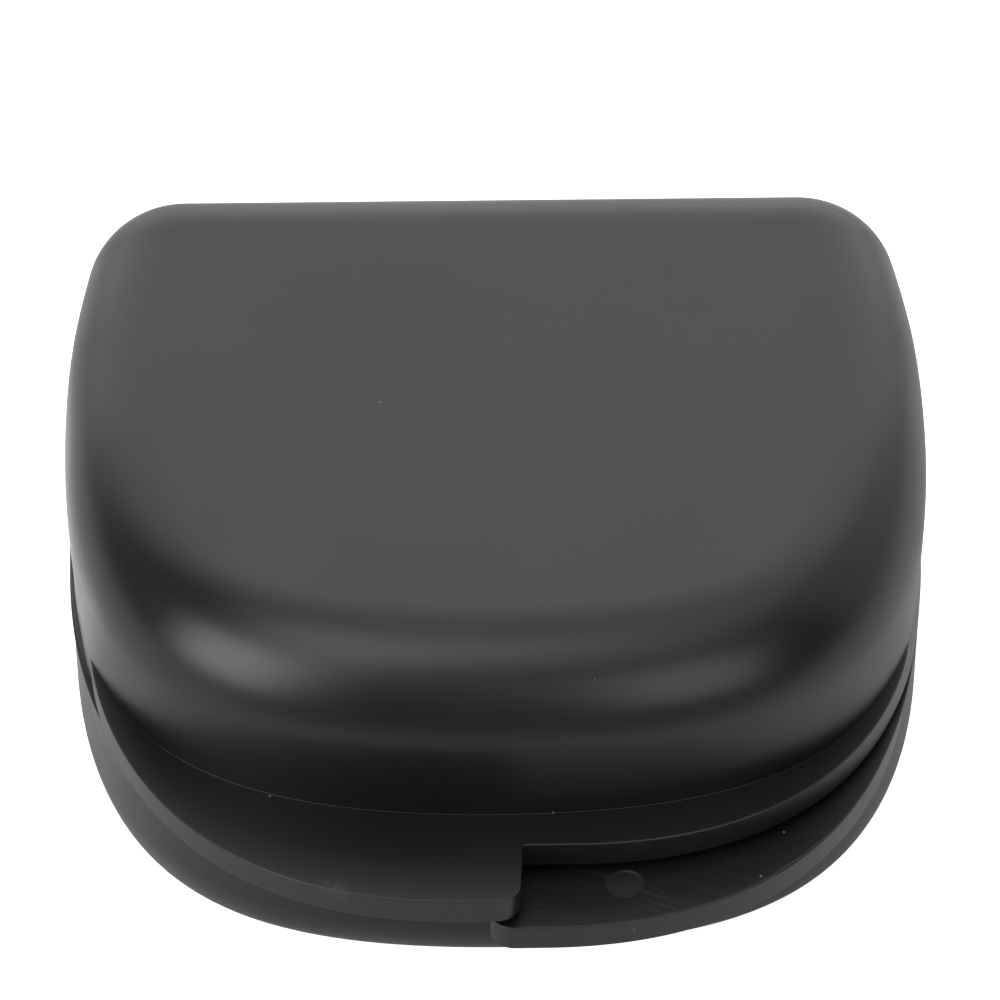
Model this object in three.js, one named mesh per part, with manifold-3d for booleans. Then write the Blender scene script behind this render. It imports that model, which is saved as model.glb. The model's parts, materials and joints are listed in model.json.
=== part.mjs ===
// Deep hinged retainer case, millimetres, +Z up.
//
// The case is one D-shaped moulding used twice: once as the lid, and once as the base, turned
// half a turn about the front-to-back line. Each moulding has a wide thumb lip over one half of
// its front and a narrow flange over the other, so the closed case offers one lip of the lid
// beside one lip of the base, and two fingers part them. At the back each moulding carries a
// snap hook on one side and a fork with a moulded bar on the other, and the hook of either half
// snaps over the bar of the other.
//
// The origin is on the resting plane, under the middle of the closed case's bounding box.
import * as THREE from 'three';
import { mergeVertices, toCreasedNormals } from 'three/addons/utils/BufferGeometryUtils.js';
import Module from 'manifold-3d';

const wasm = await Module();
wasm.setup();

const degree = Math.PI / 180;

// Plan of the wall at its rim, measured from the widest place of the case
const wallHalfWidth = 39.8;
const wallFrontReach = 43.2;
const wallBackReach = 26.5;
const frontWidthShare = 0.78;
const frontDepthShare = 0.71;
const sideStartShare = 0.38;
const sideEndShare = 0.4;
const backCornerRadius = 9.5;
const backCornerInset = 1.35;
const backCornerSlant = 8.7 * degree;

// Shell of one half
const shellDepth = 19.8;
const shellWall = 1.6;
const roofFillet = 8.5;
const leastFillet = 0.3;
const draftAngle = 0.5 * degree;
const rimGap = 0.3;

// Flange at the front of the rim: its narrow edge, its wide thumb lip, and where both leave the wall
const flangeGap = 0.9;
const flangeThickness = 2.6;
const flangeStartShare = 0.77;
const narrowOverhang = 3.75;
const narrowStraight = 4;
const narrowWidthShare = 0.79;
const narrowDepthShare = 0.21;
const lipOverhang = 10.5;
const lipStraight = 1.3;
const lipWidthShare = 0.8;
const lipDepthShare = 0.31;
const lipOverlap = 2.7;
const lipCornerRadius = 1.9;

// Tongue inside one front quarter of the rim, and the catch on it
const tongueHeight = 2.2;
const tongueThickness = 1;
const tongueRoot = 2.4;
const tongueClearance = 0.3;
const tongueFromMiddle = 3;
const tongueFromWidest = 9;
const catchDrop = 1.3;
const catchBite = 0.15;
const catchSlope = 0.45;
const catchLength = 15;
const catchClearance = 0.25;

// Snap hinge
const hingeHalfSpacing = 19;
const barRadius = 1.25;
const barClearance = 0.25;
const barrelRadius = 2.6;
const barrelClearance = 0.75;
const hookWidth = 6;
const hookMouth = 2.1;
const hookMouthFlare = 0.5;
const cheekThickness = 2;
const cheekClearance = 0.4;
const webHeight = 7.5;

// Round marks left by the pins that push the moulding out of its tool
const pinMarkRadius = 1.6;
const pinMarkDepth = 0.15;
const lipMarkFromMiddle = 10.6;
const lipMarkFromFront = 5.3;
const floorMarkFromMiddle = 21;
const floorMarkFromWidest = 13;

// How far every cut runs past what it cuts, and every root runs into what carries it
const overrun = 0.8;

// How finely the curves are divided
const frontSteps = 24;
const sideSteps = 8;
const cornerSteps = 8;
const filletSteps = 8;
const roundSteps = 24;

const plasticColour = 0x2b2b2d;

// Places that follow from the sizes above
const rimLevel = rimGap / 2;
const flangeLevel = flangeGap / 2;
const flangeTop = flangeLevel + flangeThickness;
const hingeAxisY = wallBackReach + barrelClearance + barrelRadius;
const caseFront = -wallFrontReach - lipOverhang;
const caseBack = hingeAxisY + barrelRadius;

// The right half of the D, from the middle of the front to the middle of the back.
function halfPlanCurves() {
  const cornerHalfWidth = wallHalfWidth - backCornerInset;
  const centre = new THREE.Vector2(cornerHalfWidth - backCornerRadius, wallBackReach - backCornerRadius);
  const slant = new THREE.Vector2(-Math.sin(backCornerSlant), Math.cos(backCornerSlant));
  const cornerStart = new THREE.Vector2(Math.cos(backCornerSlant), Math.sin(backCornerSlant));
  cornerStart.multiplyScalar(backCornerRadius).add(centre);
  const widest = new THREE.Vector2(wallHalfWidth, 0);
  const front = new THREE.CubicBezierCurve(
    new THREE.Vector2(0, -wallFrontReach),
    new THREE.Vector2(frontWidthShare * wallHalfWidth, -wallFrontReach),
    new THREE.Vector2(wallHalfWidth, -frontDepthShare * wallFrontReach),
    widest,
  );
  const side = new THREE.CubicBezierCurve(
    widest,
    new THREE.Vector2(wallHalfWidth, sideStartShare * cornerStart.y),
    cornerStart.clone().addScaledVector(slant, -sideEndShare * cornerStart.y),
    cornerStart,
  );
  const corner = new THREE.ArcCurve(
    centre.x, centre.y, backCornerRadius, backCornerSlant, Math.PI / 2, false,
  );
  const back = new THREE.LineCurve(
    new THREE.Vector2(centre.x, wallBackReach),
    new THREE.Vector2(0, wallBackReach),
  );
  return [[front, frontSteps], [side, sideSteps], [corner, cornerSteps], [back, 1]];
}

// Points of the whole D with their outward normals, counter-clockwise from the front middle.
function planPoints() {
  const right = [];
  for (const [curve, steps] of halfPlanCurves()) {
    for (let i = 0; i < steps; i += 1) {
      const tangent = curve.getTangent(i / steps);
      right.push({ point: curve.getPoint(i / steps), normal: new THREE.Vector2(tangent.y, -tangent.x) });
    }
  }
  right.push({ point: new THREE.Vector2(0, wallBackReach), normal: new THREE.Vector2(0, 1) });
  const left = right.slice(1, -1).reverse().map(({ point, normal }) => ({
    point: new THREE.Vector2(-point.x, point.y),
    normal: new THREE.Vector2(-normal.x, normal.y),
  }));
  return right.concat(left);
}

const plan = planPoints();

// The D moved inwards by inset, or outwards where inset is negative.
function insetPlan(inset) {
  return plan.map(({ point, normal }) => point.clone().addScaledVector(normal, -inset));
}

// The inset that the draft gives the wall at a height above the rim.
function draftInset(level) {
  return Math.tan(draftAngle) * (level - rimLevel);
}

// The library solid of a closed geometry.
function solid(geometry) {
  const merged = geometry.clone();
  merged.deleteAttribute('normal');
  merged.deleteAttribute('uv');
  const welded = mergeVertices(merged);
  return new wasm.Manifold(new wasm.Mesh({
    numProp: 3,
    vertProperties: new Float32Array(welded.attributes.position.array),
    triVerts: new Uint32Array(welded.index.array),
  }));
}

// A solid through D sections, each given by its inset and its level, from low to high.
function planLoft(sections) {
  const positions = [];
  const indices = [];
  const count = plan.length;
  for (const [inset, level] of sections) {
    for (const point of insetPlan(inset)) positions.push(point.x, point.y, level);
  }
  for (let s = 0; s + 1 < sections.length; s += 1) {
    for (let i = 0; i < count; i += 1) {
      const low = s * count + i;
      const lowNext = s * count + (i + 1) % count;
      indices.push(low, lowNext, lowNext + count, low, lowNext + count, low + count);
    }
  }
  const top = (sections.length - 1) * count;
  const lowCentre = positions.length / 3;
  const topCentre = lowCentre + 1;
  positions.push(0, 0, sections[0][1], 0, 0, sections[sections.length - 1][1]);
  for (let i = 0; i < count; i += 1) {
    const next = (i + 1) % count;
    indices.push(lowCentre, next, i, topCentre, top + i, top + next);
  }
  const geometry = new THREE.BufferGeometry();
  geometry.setAttribute('position', new THREE.Float32BufferAttribute(positions, 3));
  geometry.setIndex(indices);
  return solid(geometry);
}

// A flat outline raised from one level to another.
function plate(shape, low, high) {
  const geometry = new THREE.ExtrudeGeometry(shape, {
    depth: high - low, bevelEnabled: false, curveSegments: frontSteps,
  });
  return solid(geometry.translate(0, 0, low));
}

// A block between two corners.
function block(low, high) {
  const size = high.clone().sub(low);
  const middle = low.clone().addScaledVector(size, 0.5);
  return solid(new THREE.BoxGeometry(size.x, size.y, size.z).translate(middle.x, middle.y, middle.z));
}

// A round bar along X, centred on a point of the hinge axis.
function barAlongX(radius, length, x) {
  const geometry = new THREE.CylinderGeometry(radius, radius, length, roundSteps);
  return solid(geometry.rotateZ(Math.PI / 2).translate(x, hingeAxisY, 0));
}

// A dome with its draft and its rounded roof edge; wall is how far it lies inside the outside.
function dome(wall, low) {
  const roofLevel = shellDepth - wall;
  const roundest = backCornerRadius - draftInset(shellDepth) - leastFillet;
  const fillet = Math.min(roofFillet, roundest) - wall;
  const springLevel = roofLevel - fillet;
  const springInset = wall + draftInset(springLevel);
  const sections = [[wall + draftInset(low), low], [springInset, springLevel]];
  for (let i = 1; i <= filletSteps; i += 1) {
    const angle = (i / filletSteps) * (Math.PI / 2);
    sections.push([
      springInset + fillet * (1 - Math.cos(angle)),
      springLevel + fillet * Math.sin(angle),
    ]);
  }
  return planLoft(sections);
}

// One front edge of the flange, from the wall to the start of its straight middle stretch. It
// leaves the wall in the wall's own direction.
function flangeEdge(reach, straight, widthShare, depthShare) {
  const [[wallFront]] = halfPlanCurves();
  const start = wallFront.getPoint(flangeStartShare);
  const arm = wallFront.getTangent(flangeStartShare).multiplyScalar(depthShare * (reach + start.y));
  const edge = new THREE.CubicBezierCurve(
    start,
    start.clone().sub(arm),
    new THREE.Vector2(straight + widthShare * wallHalfWidth, -reach),
    new THREE.Vector2(straight, -reach),
  );
  return edge.getPoints(frontSteps);
}

// The narrow flange over the right half of the front.
function narrowFlange() {
  const reach = wallFrontReach + narrowOverhang;
  const edge = flangeEdge(reach, narrowStraight, narrowWidthShare, narrowDepthShare);
  const shape = new THREE.Shape(edge);
  shape.lineTo(0, -reach);
  shape.lineTo(0, edge[0].y);
  return plate(shape, flangeLevel, flangeTop);
}

// The wide thumb lip over the left half of the front. It ends a little past the middle.
function thumbLip() {
  const reach = wallFrontReach + lipOverhang;
  const end = lipOverlap / 2;
  const edge = flangeEdge(reach, lipStraight, lipWidthShare, lipDepthShare);
  const shape = new THREE.Shape(edge.map(({ x, y }) => new THREE.Vector2(-x, y)));
  shape.lineTo(end - lipCornerRadius, -reach);
  shape.absarc(end - lipCornerRadius, lipCornerRadius - reach, lipCornerRadius, -Math.PI / 2, 0, false);
  shape.lineTo(end, edge[0].y);
  return plate(shape, flangeLevel, flangeTop);
}

// The curved tongue inside the right front quarter, which steps into the other half's wall.
function tongue() {
  const outerFace = shellWall + tongueClearance;
  const innerFace = outerFace + tongueThickness;
  const rootTop = rimLevel + tongueRoot;
  const quarter = block(
    new THREE.Vector3(tongueFromMiddle, -wallFrontReach - overrun, -tongueHeight - overrun),
    new THREE.Vector3(wallHalfWidth + overrun, -tongueFromWidest, rootTop + overrun),
  );
  const root = planLoft([[shellWall - overrun, rimLevel], [shellWall - overrun, rootTop]]);
  const blade = planLoft([[outerFace, -tongueHeight], [outerFace, rimLevel + overrun]]);
  const hollow = planLoft([
    [innerFace, -tongueHeight - overrun],
    [innerFace, rootTop - tongueThickness],
    [shellWall - overrun, rootTop + overrun],
  ]);
  return root.add(blade).add(catchBead()).subtract(hollow).intersect(quarter);
}

// A block that bounds the length of a catch beside the middle, on the side given by its sign.
function catchBounds(side, length) {
  const inner = side * (tongueFromMiddle + (catchLength - length) / 2);
  const outer = inner + side * length;
  return block(
    new THREE.Vector3(Math.min(inner, outer), -wallFrontReach, -shellDepth),
    new THREE.Vector3(Math.max(inner, outer), 0, shellDepth),
  );
}

// The wedge-shaped bead along the tongue's outer face.
function catchBead() {
  const face = shellWall + tongueClearance + overrun;
  const slope = catchSlope + overrun;
  const bead = planLoft([
    [face, -catchDrop - slope],
    [shellWall - catchBite, -catchDrop],
    [face, -catchDrop + slope],
  ]);
  return bead.intersect(catchBounds(1, catchLength));
}

// The groove that takes the other half's bead.
function catchGroove() {
  const deepest = shellWall - catchBite - catchClearance;
  const slope = catchSlope + catchClearance + overrun;
  const groove = planLoft([
    [deepest + slope, catchDrop - slope],
    [deepest, catchDrop],
    [deepest + slope, catchDrop + slope],
  ]);
  return groove.intersect(catchBounds(-1, catchLength + 2 * catchClearance));
}

// One barrel with its web down the back wall, as a profile across the hinge axis.
function barrelPlate(x, width) {
  const rootY = wallBackReach - Math.min(overrun, shellWall / 2);
  const webTop = rimLevel + webHeight;
  const toWeb = new THREE.Vector2(rootY - hingeAxisY, webTop);
  const tangentAngle = toWeb.angle() - Math.acos(barrelRadius / toWeb.length());
  const rimAngle = Math.PI - Math.asin(rimLevel / barrelRadius);
  const shape = new THREE.Shape();
  shape.moveTo(rootY, webTop);
  shape.lineTo(rootY, rimLevel);
  shape.absarc(hingeAxisY, 0, barrelRadius, rimAngle, 2 * Math.PI + tangentAngle, false);
  const geometry = new THREE.ExtrudeGeometry(shape, {
    depth: width, bevelEnabled: false, curveSegments: roundSteps,
  });
  geometry.rotateX(Math.PI / 2).rotateZ(Math.PI / 2);
  return solid(geometry.translate(x - width / 2, 0, 0));
}

// The snap hook on the right: a barrel bored for the bar, open towards the other half.
function hook() {
  const bore = barAlongX(barRadius + barClearance, hookWidth + 2 * overrun, hingeHalfSpacing);
  const mouth = new THREE.Shape();
  const low = -barrelRadius - overrun;
  mouth.moveTo(hingeAxisY - hookMouth / 2, 0);
  mouth.lineTo(hingeAxisY - hookMouth / 2 - hookMouthFlare, low);
  mouth.lineTo(hingeAxisY + hookMouth / 2 + hookMouthFlare, low);
  mouth.lineTo(hingeAxisY + hookMouth / 2, 0);
  const width = hookWidth + 2 * overrun;
  const geometry = new THREE.ExtrudeGeometry(mouth, { depth: width, bevelEnabled: false });
  geometry.rotateX(Math.PI / 2).rotateZ(Math.PI / 2);
  const slot = solid(geometry.translate(hingeHalfSpacing - width / 2, 0, 0));
  return barrelPlate(hingeHalfSpacing, hookWidth).subtract(bore).subtract(slot);
}

// The fork on the left: two cheeks and the bar moulded across them.
function fork() {
  const inside = hookWidth + 2 * cheekClearance;
  const offset = (inside + cheekThickness) / 2;
  const bar = barAlongX(barRadius, inside + cheekThickness, -hingeHalfSpacing);
  return barrelPlate(-hingeHalfSpacing - offset, cheekThickness)
    .add(barrelPlate(-hingeHalfSpacing + offset, cheekThickness))
    .add(bar);
}

// One shallow round mark, as the disc that cuts it; it starts below a face and ends in it.
function pinMark(x, y, low, high) {
  const geometry = new THREE.CylinderGeometry(pinMarkRadius, pinMarkRadius, high - low, roundSteps);
  return solid(geometry.rotateX(Math.PI / 2).translate(x, y, (low + high) / 2));
}

// The marks on the lip's parting face and on the shell's inner floor.
function pinMarks() {
  const floor = shellDepth - shellWall;
  let marks = pinMark(
    -lipMarkFromMiddle, caseFront + lipMarkFromFront, flangeLevel - overrun, flangeLevel + pinMarkDepth,
  );
  for (const side of [-1, 1]) {
    for (const end of [-1, 1]) {
      marks = marks.add(pinMark(
        side * floorMarkFromMiddle, end * floorMarkFromWidest, floor - overrun, floor + pinMarkDepth,
      ));
    }
  }
  return marks;
}

// The whole moulding, open downwards, as it lies when it is the lid.
function moulding() {
  const outside = dome(0, rimLevel).add(narrowFlange()).add(thumbLip()).add(hook()).add(fork());
  return outside
    .subtract(dome(shellWall, -overrun))
    .add(tongue())
    .subtract(catchGroove())
    .subtract(pinMarks());
}

// The drawn geometry of a library solid, with its sharp edges kept sharp.
function drawn(body) {
  const mesh = body.getMesh();
  const geometry = new THREE.BufferGeometry();
  geometry.setAttribute('position', new THREE.BufferAttribute(new Float32Array(mesh.vertProperties), 3));
  geometry.setIndex(new THREE.BufferAttribute(new Uint32Array(mesh.triVerts), 1));
  return toCreasedNormals(geometry, 25 * degree);
}

// Satin black moulded plastic.
function plastic() {
  return new THREE.MeshStandardMaterial({ color: plasticColour, roughness: 0.45, metalness: 0 });
}

const halfGeometry = drawn(moulding());

function lid() {
  const mesh = new THREE.Mesh(halfGeometry, plastic());
  mesh.name = 'lid';
  return mesh;
}

function base() {
  const mesh = new THREE.Mesh(halfGeometry.clone(), plastic());
  mesh.name = 'base';
  mesh.rotation.y = Math.PI;
  return mesh;
}

const retainerCase = new THREE.Group();
retainerCase.name = 'retainer_case';
retainerCase.add(base(), lid());
retainerCase.position.set(0, -(caseFront + caseBack) / 2, shellDepth);

export default retainerCase;
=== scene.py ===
"""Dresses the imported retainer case: smooth moulded halves, satin black plastic and a soft studio.

Both halves are one moulding. Its surfaces are worked out as arrays in the moulding's own place,
open side down, with the parting plane at height zero and the widest place of the case at depth
zero. They are then set down as the lid, or turned half a turn about the front-to-back line and
set down as the base. Lengths are metres.
"""
import json
import math

import bpy
import numpy as np
from mathutils import Matrix, Vector


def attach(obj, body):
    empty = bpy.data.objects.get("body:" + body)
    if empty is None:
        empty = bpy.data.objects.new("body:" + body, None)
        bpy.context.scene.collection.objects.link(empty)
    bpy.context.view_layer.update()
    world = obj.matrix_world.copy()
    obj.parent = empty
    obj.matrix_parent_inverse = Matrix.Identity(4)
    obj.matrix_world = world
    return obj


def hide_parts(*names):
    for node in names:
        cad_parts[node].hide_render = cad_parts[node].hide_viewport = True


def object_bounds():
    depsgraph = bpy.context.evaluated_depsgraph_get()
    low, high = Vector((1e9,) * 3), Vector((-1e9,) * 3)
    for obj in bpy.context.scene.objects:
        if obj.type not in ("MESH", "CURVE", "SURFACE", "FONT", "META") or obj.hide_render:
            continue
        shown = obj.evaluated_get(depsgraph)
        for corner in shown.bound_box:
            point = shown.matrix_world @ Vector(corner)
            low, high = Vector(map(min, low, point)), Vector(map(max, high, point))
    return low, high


bl_info = {
    "name": "Retainer Case Looks",
    "version": (1, 0, 0),
    "blender": (4, 5, 0),
    "location": "View3D > Sidebar > Retainer Case",
    "description": "Moulded halves, satin plastic and soft studio for a hinged retainer case",
    "category": "Object",
}

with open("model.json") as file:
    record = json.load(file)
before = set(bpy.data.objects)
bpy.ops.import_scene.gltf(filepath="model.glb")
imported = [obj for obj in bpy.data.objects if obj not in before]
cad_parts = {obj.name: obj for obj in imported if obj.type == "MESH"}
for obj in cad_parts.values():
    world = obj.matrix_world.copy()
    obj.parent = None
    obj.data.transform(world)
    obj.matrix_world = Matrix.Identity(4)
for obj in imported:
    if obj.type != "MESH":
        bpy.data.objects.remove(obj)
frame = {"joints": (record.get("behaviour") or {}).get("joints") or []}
CAD_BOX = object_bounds()

MM = 0.001

# Where the moulding sits in the frame, read from the lid, the base and the hinge
CASE_LOW, CASE_HIGH = np.array([tuple(corner) for corner in CAD_BOX])
HINGE = frame["joints"][0]
HINGE_DEPTH = HINGE["pos_m"][1]
PARTING_LEVEL = HINGE["pos_m"][2]
CASE_HALF_WIDTH = (CASE_HIGH[0] - CASE_LOW[0]) / 2

# From the widest place of the case to its hinge line
HINGE_REACH = 29.85 * MM

# Shares of the arms that shape the outlines' curves
FRONT_WIDTH_SHARE = 0.78
FRONT_DEPTH_SHARE = 0.71
SIDE_START_SHARE = 0.38
SIDE_END_SHARE = 0.4

# The same shares for the flange's outer edges and for its edges at the parting, which reach further
# round the sides: width, depth, and where on the wall's front curve the edge leaves the wall
NARROW_OUTER = (0.714, 0.005, 0.72)
NARROW_PARTING = (0.843, 0.18, 0.95)
LID_LIP = ((0.782, 0.005, 0.7), (0.782, 0.005, 0.7))
BASE_LIP = ((0.785, 0.04, 0.71), (0.804, 0.18, 0.83))

# How finely the surfaces are divided
FINE_STEPS = 900
PROBE_STEPS = 4000
COLUMN_STEP = 0.7 * MM
MARK_STEP = 0.11 * MM
FILLET_ROWS = 24
WALL_ROWS = 7
ROUND_ROWS = 6
RIM_ROWS = 4
MARK_ROWS = 38
CORNER_POINTS = 14
LIP_END_POINTS = 9
INNER_POINTS = 8
TONGUE_ROWS = 5
BEAD_STATIONS = 24
BLADE_STATIONS = 44
PLATE_ROWS = 4
BARREL_POINTS = 48
BORE_POINTS = 40
HOOK_BACK_POINTS = 14
HOOK_FRONT_POINTS = 40
BAR_POINTS = 40
MARK_POINTS = 48
CAP_SHARES = (0, 0.3, 0.6, 0.85, 0.97, 0.99)
FLANGE_SHARES = (0.02, 0.35, 0.65, 0.98, 1)
HOLD = 0.06 * MM

# Columns stand this far either side of each end of the groove and the bead, and no other column
# stands nearer than the room
STOP_GAP = 0.03 * MM
STOP_ROOM = 5 * STOP_GAP

# How far the fine columns and the fine rows reach from the round mark's middle, as shares of its
# radius, and the direction in which its floor sinks, in the moulding's plan
MARK_COLUMNS_SHARE = 1.35
MARK_ROWS_SHARE = 1.2
MARK_LEAN = np.array([-0.55, 0.83])

# Depth from the widest place over which the draft fades out and the roof fillet grows
FRONT_FADE = 25 * MM

# Largest rounding along an edge, as a share of how far the flange stands out there, and the rim's
# rounding, as a share of how far the flange's underside lies over the rim
ROUND_SHARE = 0.4
RIM_ROUND_SHARE = 0.3

# The catch groove: its depth and half height, its rows as shares of that half height, and how much
# further than the bead it runs at each end
GROOVE_DEPTH = 0.4 * MM
GROOVE_HALF = 0.7 * MM
GROOVE_SHARES = np.array([-1.05, -0.95, -0.5, -0.06, 0.06, 0.5, 0.95, 1.05])
GROOVE_PLAY = 0.25 * MM

# The bead on the tongue: its half height, and its rows as shares of that half height
BEAD_HALF = 0.45 * MM
BEAD_SHARES = (1, 0.5, 0.08, -0.08, -0.5, -1)

# The tongue: its clearance from the wall, and the depth at which it ends
TONGUE_CLEARANCE = 0.3 * MM
TONGUE_END_DEPTH = -9 * MM

# The tongue's root: its top and its underside over the rim, how far it is sunk into the wall, and
# how far its top stands out from the wall
TONGUE_ROOT = 2.4 * MM
TONGUE_LIFT = 0.03 * MM
TONGUE_SUNK = 0.4 * MM
TONGUE_LEDGE = 0.1 * MM

# The tongue's roundings: at its edge, at the bend under its root and at its ends, and the stations
# over which the ends are drawn in
TONGUE_ROUND = 0.2 * MM
TONGUE_BEND = 0.06 * MM
TONGUE_DRAWN = 0.1 * MM
TONGUE_TIP = np.array([0, 0.04, 0.12]) * MM

# Where the stations on the bead and past it start, from the tongue's end and from the bead's end
BEAD_RUN_START = 0.3 * MM
BLADE_RUN_START = 0.8 * MM

# The snap hinge: the web's top over the rim, the play beside the hook and round the bar, the
# mouth's half width at the hinge line and its flare, and the rounding of the plates' ends
HINGE_WEB = 7.5 * MM
FORK_PLAY = 0.4 * MM
BAR_PLAY = 0.25 * MM
MOUTH_HALF = 1.05 * MM
MOUTH_FLARE = 0.5 / 3.4
PLATE_ROUND = 0.22 * MM

# The pin marks on the inner floor: rings round each, as steps past the mark's radius and rises over
# the floor, and how far from the middle line and from the widest place the marks lie
FLOOR_MARK_STEPS = np.array([0.06, 0.03, 0, -0.05, -0.1, -0.16, -0.8]) * MM
FLOOR_MARK_RISES = np.array([-0.05, 0.0, 0.05, 0.06, 0.05, 0.015, 0.015]) * MM
FLOOR_MARK_PLACE = (21 * MM, 13 * MM)

# Angles past which the shading breaks between faces
SHARP = math.radians(40)
MARK_SHARP = math.radians(50)

# Width of the ledge that keeps the skin's rows apart where the case has no flange, the width at
# which the flange is a full step, and the height over which the ledge is spread below that width
LEAST_LEDGE = 0.01 * MM
FULL_LEDGE = 0.12 * MM
LEDGE_SPREAD = 1.2 * MM


def length_setting(name, description, default):
    """A length that a user can change."""
    return bpy.props.FloatProperty(
        name=name, description=description, default=default, unit="LENGTH", precision=5)


def colour_setting(name, description, default):
    """A colour that a user can change."""
    return bpy.props.FloatVectorProperty(
        name=name, description=description, default=default, size=3, min=0, max=1, subtype="COLOR")


class CaseShape(bpy.types.PropertyGroup):
    """Sizes of the moulding that the lid and the base share."""

    wall_half_width: length_setting(
        "Wall half width", "Half the width of the wall at its widest place", CASE_HALF_WIDTH - LEAST_LEDGE)
    front_reach: length_setting(
        "Front reach", "From the widest place to the middle of the front wall", 43.2 * MM)
    back_reach: length_setting("Back reach", "From the widest place to the flat back wall", 26.5 * MM)
    corner_radius: length_setting(
        "Back corner radius", "Radius of the two back corners in plan", 9.5 * MM)
    corner_inset: length_setting(
        "Back corner inset", "How far the back corners lie inside the widest place", 1.35 * MM)
    corner_slant: bpy.props.FloatProperty(
        name="Back corner slant", description="Slant of the sides where the back corners start",
        default=math.radians(8.7), subtype="ANGLE")
    depth: length_setting("Half depth", "From the parting plane to the flat outer face", PARTING_LEVEL)
    wall: length_setting("Wall", "Thickness of the wall and of the flat face", 1.6 * MM)
    roof_fillet: length_setting(
        "Roof fillet", "Radius between the wall and the flat outer face", 8.5 * MM)
    front_fillet_gain: length_setting(
        "Front fillet gain", "How much larger the roof fillet is along the front", 0.72 * MM)
    draft: bpy.props.FloatProperty(
        name="Draft", description="How far the wall leans in", default=math.radians(0.5),
        subtype="ANGLE")
    rim_level: length_setting("Rim level", "Height of the rim over the parting plane", 0.15 * MM)
    flange_level: length_setting(
        "Flange level", "Height of the flange's underside over the parting plane", 0.45 * MM)
    flange_thickness: length_setting(
        "Flange thickness", "Thickness of the flange and the thumb lip", 2.6 * MM)
    narrow_overhang: length_setting(
        "Narrow overhang", "How far the narrow flange stands out at the front", 3.75 * MM)
    narrow_straight: length_setting(
        "Narrow straight", "From the middle line to where the narrow flange starts to curve", 6.6 * MM)
    lip_overhang: length_setting(
        "Lip overhang", "How far the thumb lip stands out at the front", 10.5 * MM)
    lip_straight: length_setting(
        "Lip straight", "From the middle line to where the thumb lip starts to curve", 3.7 * MM)
    lid_lip_past_middle: length_setting(
        "Lid lip past middle", "How far the lid's thumb lip runs past the middle", 1.5 * MM)
    base_lip_past_middle: length_setting(
        "Base lip past middle", "How far the base's thumb lip runs past the middle", 1.22 * MM)
    lip_end_slant: bpy.props.FloatProperty(
        name="Lip end slant", description="How far the end of the thumb lip leans out towards its root",
        default=math.radians(2.6), subtype="ANGLE")
    lip_corner: length_setting(
        "Lip corner radius", "Radius of the thumb lip's corner in plan", 2.1 * MM)
    inner_corner: length_setting(
        "Inner corner radius", "Hollow radius where the lip ends at the narrow flange", 0.3 * MM)
    edge_round: length_setting("Edge rounding", "Radius along the outer edges of the flange", 0.1 * MM)
    parting_round: length_setting(
        "Parting edge rounding", "Radius along the edges that face the other half", 0.1 * MM)
    root_round: length_setting(
        "Root rounding", "Hollow radius where the wall meets the flange", 0.035 * MM)
    mark_radius: length_setting(
        "Pin mark radius", "Radius of the round marks left by the ejector pins", 1.7 * MM)
    mark_depth: length_setting("Pin mark depth", "Depth of the round mark in the lip", 0.08 * MM)
    mark_from_middle: length_setting(
        "Lip mark from middle", "From the middle line to the lip's round mark", 10.75 * MM)
    mark_from_front: length_setting(
        "Lip mark from front", "From the lip's front to its round mark", 5.14 * MM)
    catch_level: length_setting("Catch level", "Distance of the catch from the parting plane", 1.3 * MM)
    catch_length: length_setting("Catch length", "Length of the bead on the tongue", 15 * MM)
    catch_start: length_setting(
        "Catch start", "From the middle line to the start of the tongue and its bead", 3 * MM)
    tongue_height: length_setting(
        "Tongue height", "How far the tongue stands past the parting plane", 2.2 * MM)
    tongue_thickness: length_setting("Tongue thickness", "Thickness of the tongue's blade", 1 * MM)
    hook_spacing: length_setting(
        "Hinge half spacing", "From the middle line to each snap hinge", 19 * MM)
    hook_width: length_setting("Hook width", "Width of the snap hook", 6 * MM)
    barrel_radius: length_setting("Barrel radius", "Outer radius of the hinge barrels", 2.6 * MM)
    bar_radius: length_setting("Bar radius", "Radius of the bar moulded across the fork", 1.25 * MM)
    cheek_thickness: length_setting("Cheek thickness", "Thickness of each cheek of the fork", 2 * MM)


class CaseFinish(bpy.types.PropertyGroup):
    """Colours and surface of the plastic, and the light that the studio throws on it."""

    plastic_colour: colour_setting(
        "Plastic", "Colour of the plastic under its shine", (0.0052, 0.0052, 0.0053))
    worn_colour: colour_setting("Worn plastic", "Colour of scuffed plastic", (0.05, 0.05, 0.05))
    dust_colour: colour_setting("Dust", "Colour of the dust specks", (0.13, 0.13, 0.125))
    satin: bpy.props.FloatProperty(
        name="Satin roughness", description="Roughness of the satin outside",
        default=0.36, min=0, max=1, subtype="FACTOR")
    grain_size: length_setting("Grain size", "Size of the finest grain of the moulded skin", 0.16 * MM)
    floor_colour: colour_setting("Floor", "Colour of the studio floor", (0.8, 0.8, 0.8))
    floor_lift: bpy.props.FloatProperty(
        name="Floor lift", description="How much brighter than its own light the camera sees the floor",
        default=0.9, min=0)
    surround: bpy.props.FloatProperty(
        name="Surround", description="Brightness of the room that the softboxes leave dark",
        default=0.04, min=0)
    backdrop: bpy.props.FloatProperty(
        name="Backdrop", description="Brightness of the room as the camera sees it",
        default=0.85, min=0)


# Outlines


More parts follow.
